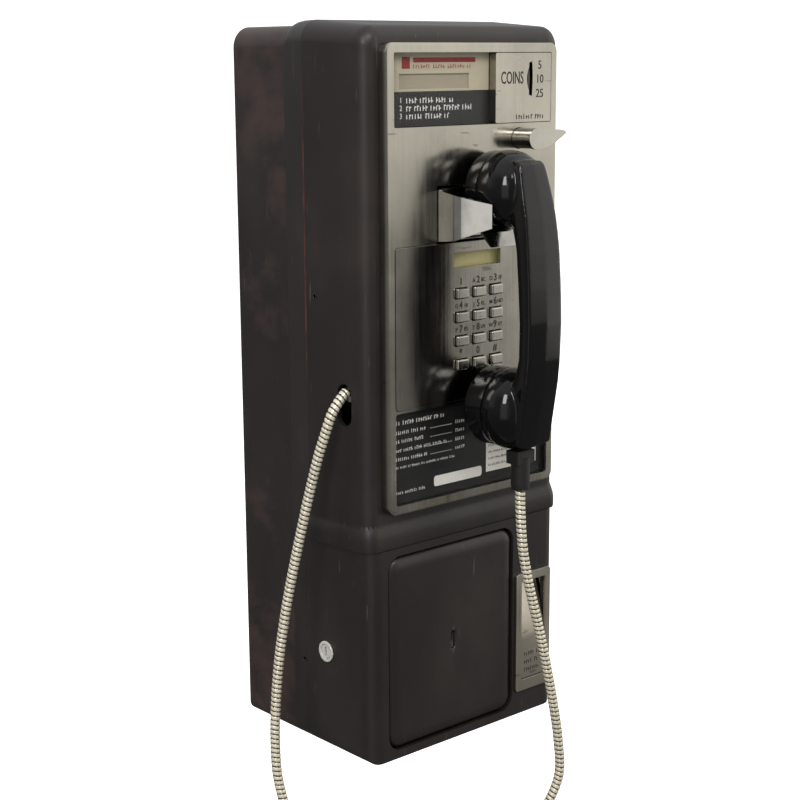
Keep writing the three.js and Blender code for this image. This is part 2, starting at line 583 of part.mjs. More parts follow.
// ---- vault and coin return ----
function vaultDoor() {
  const { left, right, top, bottom, front, back, radius } = DOOR;
  const pillow = 3;
  const outline = roundedRectangle(
    left + pillow, right - pillow, bottom + pillow, top - pillow, radius - pillow);
  const bevel = { bevelEnabled: true, bevelSize: pillow, bevelThickness: 2, bevelSegments: 3, curveSegments: 5 };
  const plate = prismY(outline, front + 2, back + 4, bevel).intersect(box(-90, 60, front - 1, back, -270, -100));
  const { x, z, keyhole, keyholeHeight, front: plugFront } = DOOR_LOCK;
  const half = keyholeHeight / 2;
  const slot = prismY(roundedRectangle(x - keyhole, x + keyhole, z - half, z + half, keyhole - 0.05), -160, -130);
  return cut(plate, slot, rodY(DOOR_LOCK.radius + GAP, x, z, plugFront - GAP, -120));
}

function vaultLock() {
  const { x, z, radius } = DOOR_LOCK;
  const plug = rodY(radius, x, z, DOOR_LOCK.front, DOOR.back + 0.8);
  const keyway = box(x - 1.1, x + 1.1, -160, -142, z - 5.4, z + 4.6);
  return cut(plug, keyway);
}

function coinBox() {
  const { left, right, front, back, bottom, top, sheet } = COIN_BOX;
  const body = box(left, right, front, back, bottom, top);
  return cut(body, box(left + sheet, right - sheet, front + sheet, back - sheet, bottom + sheet, top + 1));
}

function coinBoxLid() {
  const { left, right, front, back, top } = COIN_BOX;
  const lid = box(left, right, front, back, top + GAP, top + 2.6);
  return cut(lid, box(-40, 14, -110, -62, top - 2, top + 5));
}

function coinHopper() {
  const outer = polygon([[-66, -106], [47.8, -106], [18, -144], [-44, -144]]);
  const inner = polygon([[-63, -105], [45.6, -105], [15.5, -145], [-41.5, -145]]);
  return cut(prismY(outer, -132, -46), prismY(inner, -129.5, -48.5));
}

function returnPlate() {
  const { left, right, top, bottom, front } = RETURN;
  const outline = roundedRectangle(left, right, bottom, top, 3);
  const opening = roundedRectangle(FLAP.left - 0.4, FLAP.right + 0.4, FLAP.bottom - 0.7, FLAP.top + 0.4, 1.6);
  return cut(prismY(outline, front, HOUSING.lowerFront - GAP), prismY(opening, front - 1, -140));
}

// The flap is level with its frame below and leans inward above, up to its pin.
function returnFlap() {
  const { left, right, bottom, front, sheet } = FLAP;
  const { y, z, radius } = FLAP_PIN;
  const lean = [[0, bottom], [0, -206], [0.4, -200], [1.7, -191], [3.7, -182], [6.1, -173.5], [8.7, -165.5], [10.4, -160.4]];
  const outside = lean.map(([inward, height]) => [front + inward, height]);
  const inside = lean.map(([inward, height]) => [front + inward + sheet, height]).reverse();
  return join(prismX(polygon([...outside, ...inside]), left, right), rodX(radius, y, z, left, right, 16));
}

function returnBucket() {
  const outer = polygon([[-145.6, -244], [-100, -244], [-92, -200], [-92, -152], [-145.6, -152]]);
  const inner = polygon([[-150, -242], [-101.6, -242], [-94, -200], [-94, -154], [-150, -154]]);
  const inlet = box(59, 81, -112, -95, -156, -150);
  return cut(prismX(outer, 54, 86), prismX(inner, 55.6, 84.4), inlet);
}

// ---- locks ----
function sideLockCase() {
  const { y, z, radius, plug } = SIDE_LOCK;
  const rim = rodX(radius, y, z, -98.6, -HOUSING.halfWidth - GAP, 28);
  const barrel = rodX(radius - 1, y, z, -98, -82, 28);
  return cut(join(rim, barrel), rodX(plug + GAP, y, z, -100, -80, 24));
}

function sideLockPlug() {
  const { y, z, plug } = SIDE_LOCK;
  return cut(rodX(plug, y, z, -98.2, -83, 24), box(-100, -92, y - 1, y + 1, z - 3.6, z + 3.6));
}

function circuitBoard() {
  const board = box(-84, 22, -38, -36.4, -60, 200);
  const parts = [
    box(-70, -30, -50, -37, 120, 170), box(-20, 12, -46, -37, 60, 110), box(-74, -50, -48, -37, -30, 30),
    box(-36, -4, -44, -37, -44, 20),
  ];
  return join(board, ...parts);
}

// ---- assembly ----
const casing = section('casing');
place(casing, 'wall_plate', wallPlate(), ZINC);
BOLT_PLACES.forEach(([x, z], index) => {
  place(casing, `mounting_bolt_${index + 1}`, mountingBolt(x, z), ZINC);
});
place(casing, 'rear_housing', rearHousing(), BLACK_PAINT);
place(casing, 'upper_housing', upperHousing(), BLACK_PAINT);
place(casing, 'lower_housing', lowerHousing(), BLACK_PAINT);
place(casing, 'side_lock_case', sideLockCase(), CHROME);
place(casing, 'side_lock_plug', sideLockPlug(), BRASS);

const front = section('front');
place(front, 'faceplate', faceplate(), STAINLESS);
place(front, 'rate_card', creamCard(), CARD_CREAM);
place(front, 'dialing_card', pane(-80, 19.4, 194.5, 220.7, -149.9, 0.8), CARD_BLACK);
place(front, 'upper_window', pane(-80, 19.4, 194.5, 250.5, -152.2, 1.6), CLEAR);
place(front, 'display_module', box(-69, 3, -148.7, -138, 219.5, 236), DARK_PLASTIC);
place(front, 'number_card', pane(-26, 29, 94, 110, -151.6, 0.8), CARD_OLIVE);
place(front, 'lower_card', pane(-79, 79, -72.6, -1.4, -152, 0.8), CARD_BLACK);
place(front, 'lower_window', pane(-79, 79, -72.6, -1.4, -153.8, 1.4), CLEAR);

const coins = section('coin_works');
place(coins, 'coin_plate', coinPlate(), STAINLESS);
place(coins, 'coin_throat', coinThroat(), DARK_PLASTIC);
place(coins, 'coin_validator', coinValidator(), ZINC);
place(coins, 'coin_drop_tube', coinDropTube(), ZINC);
place(coins, 'coin_return_chute', coinReturnChute(), ZINC);
place(coins, 'coin_hopper', coinHopper(), ZINC);
place(coins, 'coin_release_lever', releaseLever(), CHROME);

const keypad = section('keypad');
place(keypad, 'keypad_plate', keypadPlate(), STAINLESS);
place(keypad, 'keypad_board', keypadBoard(), BOARD_GREEN);
const KEY_NAMES = ['1', '2', '3', '4', '5', '6', '7', '8', '9', 'star', '0', 'hash'];
keyCentres().forEach(([x, z], index) => {
  place(keypad, `key_${KEY_NAMES[index]}`, key(x, z), STAINLESS);
});

const cradle = section('cradle');
place(cradle, 'hook', hookCradle(), CHROME);
place(cradle, 'hook_bracket', hookBracket(), ZINC);
place(cradle, 'hook_pin', rodX(HOOK_PIN.radius, HOOK_PIN.y, HOOK_PIN.z, -11, 27, 24), ZINC);
place(cradle, 'hook_switch', hookSwitch(), DARK_PLASTIC);
place(cradle, 'circuit_board', circuitBoard(), BOARD_GREEN);

const handset = section('handset');
place(handset, 'handset_body', handsetBody(), HANDSET_PLASTIC);
place(handset, 'earpiece_cap', handsetCap(EAR), HANDSET_PLASTIC);
place(handset, 'mouthpiece_cap', handsetCap(MOUTH), HANDSET_PLASTIC);
place(handset, 'receiver_capsule', capsule(EAR), ZINC);
place(handset, 'transmitter_capsule', capsule(MOUTH), ZINC);
place(handset, 'cord_boot', cordBoot(), DARK_PLASTIC);
place(handset, 'cord_gland', cordGland(), STAINLESS);
place(handset, 'armored_cord', armoredCord(), STAINLESS);

const vault = section('vault');
place(vault, 'vault_door', vaultDoor(), BLACK_PAINT);
place(vault, 'vault_lock_plug', vaultLock(), ZINC);
place(vault, 'coin_box', coinBox(), ZINC);
place(vault, 'coin_box_lid', coinBoxLid(), ZINC);
place(vault, 'return_plate', returnPlate(), STAINLESS);
place(vault, 'return_flap', returnFlap(), STAINLESS);
place(vault, 'return_bucket', returnBucket(), STAINLESS);

export default payphone;
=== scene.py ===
import json
import math

import bmesh
import bpy
import numpy as np
from mathutils import Matrix, Vector


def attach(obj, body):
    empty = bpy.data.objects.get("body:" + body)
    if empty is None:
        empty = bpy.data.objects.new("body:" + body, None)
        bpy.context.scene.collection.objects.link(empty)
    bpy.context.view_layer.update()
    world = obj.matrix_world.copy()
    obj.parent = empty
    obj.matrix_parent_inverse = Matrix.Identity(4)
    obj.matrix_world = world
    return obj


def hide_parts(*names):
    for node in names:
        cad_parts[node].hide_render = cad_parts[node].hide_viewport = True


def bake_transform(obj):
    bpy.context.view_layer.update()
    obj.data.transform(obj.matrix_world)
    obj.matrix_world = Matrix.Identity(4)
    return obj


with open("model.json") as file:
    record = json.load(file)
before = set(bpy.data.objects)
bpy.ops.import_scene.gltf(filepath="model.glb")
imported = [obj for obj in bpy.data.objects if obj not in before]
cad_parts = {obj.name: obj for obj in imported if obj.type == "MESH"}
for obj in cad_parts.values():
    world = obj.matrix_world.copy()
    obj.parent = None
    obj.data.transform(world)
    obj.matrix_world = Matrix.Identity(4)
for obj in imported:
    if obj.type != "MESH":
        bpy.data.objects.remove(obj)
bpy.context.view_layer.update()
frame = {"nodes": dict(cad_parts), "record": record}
NODES = frame["nodes"]
MM = 0.001
# A turned profile ends in a ring this small, in mm, instead of a single point.
POINT_RADIUS = 0.02


# ---------------------------------------------------------------- camera
AZIMUTH, ELEVATION, ROLL = (math.radians(v) for v in (-41.404, 11.8394, -0.33884))
DISTANCE, OFFSET_X, OFFSET_Z = 1.3160712, 0.0488558, -0.0265541
SENSOR_WIDTH = 36
FOCAL_LENGTH = 73.43685
NEAR, FAR = 0.05, 30


def make_camera():
    back = Vector((math.sin(AZIMUTH) * math.cos(ELEVATION), -math.cos(AZIMUTH) * math.cos(ELEVATION),
                   math.sin(ELEVATION)))
    side = Vector((0, 0, 1)).cross(back).normalized()
    top = back.cross(side)
    right = math.cos(ROLL) * side + math.sin(ROLL) * top
    up = math.cos(ROLL) * top - math.sin(ROLL) * side
    data = bpy.data.cameras.new("view")
    data.sensor_width = SENSOR_WIDTH
    data.lens = FOCAL_LENGTH
    data.clip_start, data.clip_end = NEAR, FAR
    camera = bpy.data.objects.new("view", data)
    bpy.context.scene.collection.objects.link(camera)
    turn = Matrix((right, up, back)).transposed().to_4x4()
    camera.matrix_world = Matrix.Translation(back * DISTANCE + right * OFFSET_X + up * OFFSET_Z) @ turn
    bpy.context.scene.camera = camera


make_camera()


# ---------------------------------------------------------------- mesh helpers
def new_object(name, mesh, body="phone"):
    piece = bpy.data.objects.new(name, mesh)
    bpy.context.scene.collection.objects.link(piece)
    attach(piece, body)
    return piece


def mesh_from(name, points, faces, smooth=True):
    mesh = bpy.data.meshes.new(name)
    mesh.from_pydata([tuple(p) for p in points], [], faces)
    work = bmesh.new()
    work.from_mesh(mesh)
    bmesh.ops.recalc_face_normals(work, faces=work.faces)
    work.to_mesh(mesh)
    work.free()
    mesh.polygons.foreach_set("use_smooth", [smooth] * len(mesh.polygons))
    return mesh


def loft(name, rings):
    """A capped skin through closed rings of the same number of points."""
    count = len(rings[0])
    points = [p for ring in rings for p in ring]
    faces = []
    for i in range(len(rings) - 1):
        for j in range(count):
            k = (j + 1) % count
            faces.append((i * count + j, i * count + k, (i + 1) * count + k, (i + 1) * count + j))
    faces.append(tuple(range(count)))
    faces.append(tuple((len(rings) - 1) * count + j for j in range(count)))
    return mesh_from(name, points, faces)


def turned(name, profile, place, sides):
    """A skin turned about an axis; place makes a point in mm of two offsets and a distance along it."""
    rings = []
    for radius, along in profile:
        r = max(radius, POINT_RADIUS)
        angles = (2 * math.pi * j / sides for j in range(sides))
        rings.append([tuple(v * MM for v in place(r * math.cos(a), r * math.sin(a), along)) for a in angles])
    return loft(name, rings)


# ---------------------------------------------------------------- armoured cord
CORD_DIAMETER = 0.0074
RING_PITCH = 0.0035
# The share of each ring pitch that is painted as shade at the bottom of the groove.
SHADED_GROOVE_SHARE = 0.3
GROOVE_DEPTH, GROOVE_REACH, GROOVE_POWER = 0.00052, 0.2, 1.2
RING_SWELL = 0.00012
CORD_INSET = 0.0001
CORD_SIDES = 20
CORD_STEP = RING_PITCH / 8
PATH_STEP = 0.006
CURVE_STEPS = 24
CORD_ROUTE = [
    (-96.2, -125, 11.6), (-100.5, -125, 8.2), (-105.2, -124.9, 3.2), (-109.4, -124.3, -3.2),
    (-113, -121.4, -17), (-116.4, -117.3, -34), (-120.5, -111, -63), (-125.2, -105.4, -95),
    (-129.6, -101, -124), (-134, -97.7, -153), (-138.3, -95.6, -184), (-142, -95, -218),
    (-144.5, -96.2, -248), (-145, -99.8, -278), (-140.5, -106, -305), (-129.5, -115.5, -330),
    (-111.5, -128, -350), (-88, -143.5, -362.5), (-62, -160, -366.5), (-36, -176, -363),
    (-12, -190.5, -352), (9, -202.5, -335), (25, -210.5, -314), (34.5, -214.5, -290),
    (34.2, -213.5, -262), (29.8, -211, -228), (24.8, -208.3, -198), (20, -205.5, -171.5),
    (15.5, -203.3, -151), (11.4, -201, -129.5), (8.6, -199, -108), (7.8, -197.8, -90),
    (8, -196.7, -75), (8, -196.5, -64.6),
]


def centripetal(points, spacing):
    """Even points along a centripetal Catmull-Rom curve through the given ones."""
    p = np.array(points, float)
    p = np.vstack([2 * p[0] - p[1], p, 2 * p[-1] - p[-2]])
    out = []
    for i in range(1, len(p) - 2):
        knots = [0.0]
        for a, b in ((i - 1, i), (i, i + 1), (i + 1, i + 2)):
            knots.append(knots[-1] + np.linalg.norm(p[b] - p[a]) ** 0.5)
        for t in np.linspace(knots[1], knots[2], CURVE_STEPS, endpoint=False):
            a1 = _mix(p[i - 1], p[i], knots[0], knots[1], t)
            a2 = _mix(p[i], p[i + 1], knots[1], knots[2], t)
            a3 = _mix(p[i + 1], p[i + 2], knots[2], knots[3], t)
            b1 = _mix(a1, a2, knots[0], knots[2], t)
            b2 = _mix(a2, a3, knots[1], knots[3], t)
            out.append(_mix(b1, b2, knots[1], knots[2], t))
    out.append(p[-2])
    line = np.array(out)
    along = np.concatenate([[0], np.cumsum(np.linalg.norm(np.diff(line, axis=0), axis=1))])
    stops = np.linspace(0, along[-1], int(along[-1] / spacing) + 1)
    return np.stack([np.interp(stops, along, line[:, k]) for k in range(3)], axis=1), along[-1]


def _mix(a, b, ta, tb, t):
    return a * (tb - t) / (tb - ta) + b * (t - ta) / (tb - ta)


def tube_frames(line):
    """Tangent and two normals at each point, turning as little as possible."""
    tangents = np.gradient(line, axis=0)
    tangents /= np.linalg.norm(tangents, axis=1)[:, None]
    normal = np.cross(tangents[0], (0, 1, 0))
    normal /= np.linalg.norm(normal)
    frames = []
    for t in tangents:
        normal = normal - t * np.dot(normal, t)
        normal /= np.linalg.norm(normal)
        frames.append((normal, np.cross(t, normal)))
    return frames


def make_cord():
    """A tube of interlocked rings: one spiral groove, with painted shade at its bottom."""
    route = [[v * MM for v in p] for p in CORD_ROUTE]
    line, length = centripetal(route, CORD_STEP)
    sides = CORD_SIDES
    radius = CORD_DIAMETER / 2
    rings = []
    for i, (centre, (n, b)) in enumerate(zip(line, tube_frames(line))):
        s = i * length / (len(line) - 1)
        ring = []
        for j in range(sides):
            angle = 2 * math.pi * j / sides
            phase = (s / RING_PITCH + j / sides) % 1.0
            nearness = max(0.0, 1 - min(phase, 1 - phase) / GROOVE_REACH)
            depth = GROOVE_DEPTH * nearness ** GROOVE_POWER
            swell = RING_SWELL * math.sin(math.pi * phase)
            r = radius - CORD_INSET - depth + swell
            ring.append(centre + r * (math.cos(angle) * n + math.sin(angle) * b))
        rings.append(ring)
    mesh = loft("cord", rings)
    # Faces at the bottom of the groove take the second slot, a painted shade.
    for i in range(len(rings) - 1):
        s = (i + 0.5) * length / (len(line) - 1)
        for j in range(sides):
            phase = (s / RING_PITCH + (j + 0.5) / sides) % 1.0
            if min(phase, 1 - phase) < SHADED_GROOVE_SHARE / 2:
                mesh.polygons[i * sides + j].material_index = 1
    cord = bpy.data.objects.new("cord", mesh)
    bpy.context.scene.collection.objects.link(cord)
    path, _ = centripetal(route, PATH_STEP)
    return cord, path, length


cord, cord_path, cord_length = make_cord()
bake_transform(cord)
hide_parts("armored_cord")


# ---------------------------------------------------------------- materials
# Distances from the wall, in metres: the front of the rear shell and the upper housing's rubbed ridge.
REAR_SHELL = 0.06
COLLAR_RIDGE = 0.0862
# How far a material's darker clouds lie below its colour, of 255.
SHADE_STEP = 5
CHROME_STEP = 22


class Nodes:
    """A small wrapper for building shader trees."""

    def __init__(self, name):
        self.material = bpy.data.materials.new(name)
        self.material.use_nodes = True
        self.tree = self.material.node_tree
        self.shader = self.tree.nodes.get("Principled BSDF")
        self.coords = self.tree.nodes.new("ShaderNodeTexCoord")

    def add(self, kind, **values):
        node = self.tree.nodes.new(kind)
        for key, value in values.items():
            if key.startswith("_"):
                setattr(node, key[1:], value)
            else:
                node.inputs[key.replace("_", " ")].default_value = value
        return node

    def link(self, a, b):
        self.tree.links.new(a, b)

    def scaled(self, x=1, y=1, z=1, turn=(0, 0, 0)):
        mapping = self.add("ShaderNodeMapping")
        mapping.inputs["Scale"].default_value = (x, y, z)
        mapping.inputs["Rotation"].default_value = turn
        self.link(self.coords.outputs["Object"], mapping.inputs["Vector"])
        return mapping.outputs["Vector"]

    def axes(self, output="Object"):
        split = self.add("ShaderNodeSeparateXYZ")
        self.link(self.coords.outputs[output], split.inputs["Vector"])
        return [split.outputs[k] for k in "XYZ"]

    def noise(self, vector, scale, detail=4, roughness=0.55):
        node = self.add("ShaderNodeTexNoise", Scale=scale, Detail=detail, Roughness=roughness)
        self.link(vector, node.inputs["Vector"])
        return node.outputs["Fac"]

    def ramp(self, source, stops):
        node = self.add("ShaderNodeValToRGB")
        elements = node.color_ramp.elements
        while len(elements) < len(stops):
            elements.new(0.5)
        for element, (place, colour) in zip(elements, stops):
            element.position = place
            element.color = (*colour, 1)
        self.link(source, node.inputs["Fac"])
        return node.outputs["Color"]

    def value(self, source, low, high, out_low=0.0, out_high=1.0, smooth=False):
        node = self.add("ShaderNodeMapRange", From_Min=low, From_Max=high, To_Min=out_low, To_Max=out_high)
        if smooth:
            node.interpolation_type = "SMOOTHSTEP"
        self.link(source, node.inputs["Value"])
        return node.outputs["Result"]

    def math(self, kind, a, b=0.0):
        node = self.add("ShaderNodeMath", _operation=kind)
        for socket, value in zip(node.inputs, (a, b)):
            if isinstance(value, (int, float)):
                socket.default_value = value
            else:
                self.link(value, socket)
        return node.outputs["Value"]

    def product(self, *factors):
        total = factors[0]
        for factor in factors[1:]:
            total = self.math("MULTIPLY", total, factor)
        return total

    def mix(self, factor, a, b):
        node = self.add("ShaderNodeMix", _data_type="RGBA")
        sockets = [s for s in node.inputs if s.enabled]
        for socket, value in zip(sockets, (factor, a, b)):
            if isinstance(value, (int, float)):
                socket.default_value = value
            elif isinstance(value, tuple):
                socket.default_value = (*value, 1)
            else:
                self.link(value, socket)
        return [s for s in node.outputs if s.enabled][0]

    def bump(self, height, strength, distance=0.001, after=None):
        node = self.add("ShaderNodeBump", Strength=strength, Distance=distance)
        self.link(height, node.inputs["Height"])
        if after is not None:
            self.link(after, node.inputs["Normal"])
        return node.outputs["Normal"]

    def to(self, socket, source):
        if isinstance(source, (int, float)):
            self.shader.inputs[socket].default_value = source
        elif isinstance(source, tuple):
            self.shader.inputs[socket].default_value = (*source, 1)
        else:
            self.link(source, self.shader.inputs[socket])


def srgb(r, g, b):
    return tuple(((v / 255 + 0.055) / 1.055) ** 2.4 if v > 10 else v / 255 / 12.92 for v in (r, g, b))


def paint_material():
    """Satin black enamel: brownish clouds, rubbed ridges with red primer showing, and fine scratches."""
    n = Nodes("black_paint")
    x, y, z = n.axes()
    cloud = n.noise(n.scaled(1, 1, 0.6), 11, 6, 0.6)
    colour = n.ramp(cloud, [(0.3, srgb(27, 24, 23)), (0.52, srgb(33, 29, 28)), (0.72, srgb(45, 38, 35))])
    behind = n.value(y, -REAR_SHELL - 0.002, -REAR_SHELL + 0.002, smooth=True)
    patch = n.value(n.noise(n.scaled(1, 0.7, 1), 16, 5, 0.65), 0.52, 0.66)
    colour = n.mix(n.product(behind, patch, 0.55), colour, srgb(66, 50, 46))
    off_ridge = n.math("ABSOLUTE", n.math("ADD", y, COLLAR_RIDGE))
    on_ridge = n.value(off_ridge, 0.0011, 0.0003, smooth=True)
    at_side = n.value(n.math("ABSOLUTE", x), 0.098, 0.1)
    ridge = n.product(on_ridge, at_side)
    height = n.product(n.value(z, 0.0, 0.06), n.value(z, 0.235, 0.205))
    # Rubbed spots along the ridge, where red primer shows.
    lighter_patch = n.value(n.noise(n.scaled(1, 1, 0.2), 160, 4), 0.38, 0.56)
    colour = n.mix(n.product(ridge, height, lighter_patch, 0.8), colour, srgb(104, 50, 46))
    scratch = n.value(n.noise(n.scaled(1, 1, 0.06, (0.5, 0.3, 0)), 420, 2), 0.7, 0.76)
    colour = n.mix(n.product(scratch, 0.35), colour, srgb(96, 92, 90))
    n.to("Base Color", colour)
    n.to("Roughness", n.value(cloud, 0.3, 0.7, 0.34, 0.46))
    n.to("Specular IOR Level", 0.4)
    fine = n.noise(n.scaled(), 900, 3)
    wavy = n.noise(n.scaled(), 60, 3)
    n.to("Normal", n.bump(fine, 0.1, 0.0004, n.bump(wavy, 0.06, 0.0015)))
    return n.material


def steel_material(name="stainless", low=(150, 147, 138), high=(176, 172, 162), rough=(0.13, 0.22)):
    """Worn sheet steel: fine vertical grain, cloudy handling marks and a few scratches."""
    n = Nodes(name)
    streak = n.noise(n.scaled(1, 1, 0.015), 700, 3)
    cloud = n.noise(n.scaled(), 14, 6, 0.6)
    base = n.ramp(cloud, [(0.3, srgb(*low)), (0.7, srgb(*high))])
    scratch = n.value(n.noise(n.scaled(0.2, 1, 1, (0.3, 0.6, 0.2)), 160, 2), 0.69, 0.73)
    n.to("Base Color", n.mix(n.product(scratch, 0.5), base, srgb(92, 88, 82)))
    n.to("Metallic", 1.0)
    handled = n.value(cloud, 0.45, 0.75, 0, 0.08)
    n.to("Roughness", n.math("ADD", n.value(streak, 0.3, 0.7, *rough), handled))
    n.to("Normal", n.bump(streak, 0.05, 0.0003))
    return n.material


def chrome_material(name="chrome", colour=(205, 204, 200), rough=0.06):
    n = Nodes(name)
    cloud = n.noise(n.scaled(), 60, 5)
    dark = tuple(v - CHROME_STEP for v in colour)
    n.to("Base Color", n.ramp(cloud, [(0.35, srgb(*dark)), (0.6, srgb(*colour))]))
    n.to("Metallic", 1.0)
    n.to("Roughness", n.value(cloud, 0.3, 0.7, rough, rough + 0.08))
    n.to("Normal", n.bump(cloud, 0.03, 0.0006))
    return n.material


def plastic_material(name, colour, rough=0.2, grain=0.05, metallic=0.0):
    n = Nodes(name)
    cloud = n.noise(n.scaled(), 45, 5)
    dark = tuple(max(v - SHADE_STEP, 0) for v in colour)
    n.to("Base Color", n.ramp(cloud, [(0.3, srgb(*dark)), (0.7, srgb(*colour))]))
    n.to("Metallic", metallic)
    n.to("Roughness", n.value(cloud, 0.3, 0.7, rough, rough + 0.1))
    fine = n.noise(n.scaled(), 1200, 2)
    n.to("Normal", n.bump(fine, grain, 0.0003))
    return n.material


def handset_material():
    """Gloss black, turning to a lighter grey satin higher up on the outer face of the handle."""
    n = Nodes("handset_plastic")
    _, y, z = n.axes()
    facing = n.axes("Normal")[1]
    outside = n.product(n.value(facing, -0.8, -0.95, smooth=True), n.value(y, -0.203, -0.206))
    # A lighter, rougher grey satin on the outer face, starting 0.03 m up and full from 0.1 m up.
    lighter_patch = n.product(outside, n.value(z, 0.03, 0.1, smooth=True))
    cloud = n.noise(n.scaled(1, 1, 0.5), 38, 6, 0.6)
    gloss = n.ramp(cloud, [(0.3, srgb(7, 7, 8)), (0.7, srgb(12, 12, 13))])
    satin = n.ramp(cloud, [(0.3, srgb(15, 14, 14)), (0.7, srgb(24, 22, 22))])
    n.to("Base Color", n.mix(lighter_patch, gloss, satin))
    n.to("Roughness", n.math("ADD", n.value(cloud, 0.3, 0.7, 0.06, 0.11), n.product(lighter_patch, 0.2)))
    n.to("Specular IOR Level", 0.34)
    n.to("Normal", n.bump(n.noise(n.scaled(), 700, 3), 0.03, 0.0003))
    return n.material


def card_material(name, colour, rough=0.55, spread=8):
    n = Nodes(name)
    fibre = n.noise(n.scaled(), 500, 4)
    dark = tuple(max(v - spread, 0) for v in colour)
    n.to("Base Color", n.ramp(fibre, [(0.3, srgb(*dark)), (0.7, srgb(*colour))]))
    n.to("Roughness", rough)
    n.to("Normal", n.bump(fibre, 0.05, 0.0002))
    return n.material


def glass_material():
    n = Nodes("clear_window")
    cloud = n.noise(n.scaled(), 30, 4)
    n.to("Base Color", n.ramp(cloud, [(0.3, (0.02, 0.02, 0.02)), (0.7, (0.05, 0.05, 0.05))]))
    n.to("Roughness", n.value(cloud, 0.3, 0.7, 0.03, 0.1))
    n.to("Alpha", 0.1)
    return n.material


PAINT = paint_material()
STEEL = steel_material()
KEYPAD_STEEL = steel_material("keypad_steel", (140, 137, 130), (168, 164, 156), (0.1, 0.18))
KEY_STEEL = steel_material("key_steel", (150, 147, 140), (184, 181, 174), (0.16, 0.24))
ZINC = steel_material("zinc", (120, 122, 122), (150, 152, 150), (0.4, 0.55))
RETURN_STEEL = steel_material("return_steel", (168, 162, 150), (196, 190, 176), (0.28, 0.4))
CHROME = chrome_material()
BRASS = chrome_material("brass", (170, 140, 80), 0.25)
GLOSS = handset_material()
MATTE = plastic_material("dark_plastic", (20, 19, 18), 0.5, 0.15)
BOARD = plastic_material("board", (38, 64, 36), 0.4, 0.1)
CREAM = card_material("cream_card", (206, 196, 170))
TAUPE = card_material("display_face", (178, 167, 145))
BLACK_CARD = card_material("black_card", (15, 15, 16), 0.35, 4)
OLIVE = card_material("olive_card", (218, 208, 152))
GLASS = glass_material()
ARMOR = plastic_material("armor", (226, 218, 196), 0.26, metallic=0.4)
LOCK = plastic_material("lock_metal", (214, 212, 206), 0.2, metallic=0.4)
# Painted shade for the bottom of the cord's groove.
GROOVE_SHADE = plastic_material("ring_groove_shade", (44, 41, 37), 0.5)
WHITE_INK = card_material("white_ink", (250, 248, 240), 0.6)
RED_INK = card_material("red_ink", (150, 34, 30), 0.6)
DARK_INK = card_material("dark_ink", (34, 33, 32), 0.5, 6)

BY_SLOT = {"black_paint": PAINT, "stainless": STEEL, "chrome": CHROME, "zinc": ZINC, "brass": BRASS,
           "handset_plastic": GLOSS, "dark_plastic": MATTE, "cream_card": CREAM, "black_card": BLACK_CARD,
           "olive_card": OLIVE, "clear": GLASS, "board": BOARD, "armor": ARMOR}
OWN_LOOK = {"keypad_plate": KEYPAD_STEEL, "return_plate": RETURN_STEEL, "return_flap": RETURN_STEEL,
            "display_module": TAUPE, "coin_release_lever": KEY_STEEL,
            "side_lock_plug": LOCK, "side_lock_case": LOCK}


def paint_piece(piece, material):
    slots = piece.data.materials
    if slots:
        for i in range(len(slots)):
            slots[i] = material
    else:
        slots.append(material)


for entry in frame["record"]["subparts"]:
    paint_piece(NODES[entry["node"]], OWN_LOOK.get(entry["node"], BY_SLOT[entry["material_slot"]]))
KEYS = [name for name in NODES if name.startswith("key_")]
for node_name in KEYS:
    paint_piece(NODES[node_name], KEY_STEEL)
cord.data.materials.append(ARMOR)
cord.data.materials.append(GROOVE_SHADE)


# ---------------------------------------------------------------- edges of the CAD pieces
BEVEL_WIDTH = 0.0004
KEY_BEVEL_WIDTH = 0.0003
BEVEL_ANGLE = 32
FLAT_ANGLE = 0.6
WELD_REACH = 0.000002


def refine(node, width=BEVEL_WIDTH):
    """Rounds the sharp edges of a CAD piece with modifiers only."""
    piece = NODES[node]
    piece.data.polygons.foreach_set("use_smooth", [True] * len(piece.data.polygons))
    weld = piece.modifiers.new("weld", "WELD")
    weld.merge_threshold = WELD_REACH
    flat = piece.modifiers.new("flat", "DECIMATE")
    flat.decimate_type = "DISSOLVE"
    flat.angle_limit = math.radians(FLAT_ANGLE)
    bevel = piece.modifiers.new("bevel", "BEVEL")
    bevel.width = width
    bevel.segments = 2
    bevel.limit_method = "ANGLE"
    bevel.angle_limit = math.radians(BEVEL_ANGLE)
    bevel.harden_normals = True
    normals = piece.modifiers.new("normals", "WEIGHTED_NORMAL")
    normals.keep_sharp = True
    normals.weight = 100


for node_name in ("upper_housing", "lower_housing", "rear_housing", "faceplate", "hook", "coin_release_lever",
                  "coin_plate", "keypad_plate", "return_plate", "return_flap", "cord_boot", "earpiece_cap",
                  "mouthpiece_cap", "side_lock_case"):
    refine(node_name)
for node_name in KEYS:
    refine(node_name, KEY_BEVEL_WIDTH)


# ---------------------------------------------------------------- handset
HANDSET_X = 8
EAR_Z, MOUTH_Z = 152.4, -5
CUP_SIDES = 64
VOXEL = 0.0009
MELT_PASSES = 14
# Outer Y and Z, inner Y and Z, half width, from the receiver end down.
HANDLE_STATIONS = [
    (-203.4, 172.4, -186, 173.4, 12.4), (-205.6, 170.4, -186, 169, 13.1), (-207.4, 165, -186, 162, 13.7),
    (-209.2, 158, -186, 154, 14.5), (-212, 147, -187.5, 145, 15.4), (-215, 134, -194.5, 136, 15.9),
    (-216.6, 122, -201, 125, 16.4), (-217.9, 110, -204.4, 113, 16.8), (-219.6, 85, -206.8, 86, 17),
    (-220.6, 60, -208.4, 60, 17), (-219.6, 32, -208, 35, 17), (-218, 16, -204.4, 21, 17),
    (-215.6, 2, -197, 9, 17), (-213, -13, -190, -9, 17), (-210.6, -29, -190, -29, 17),
]
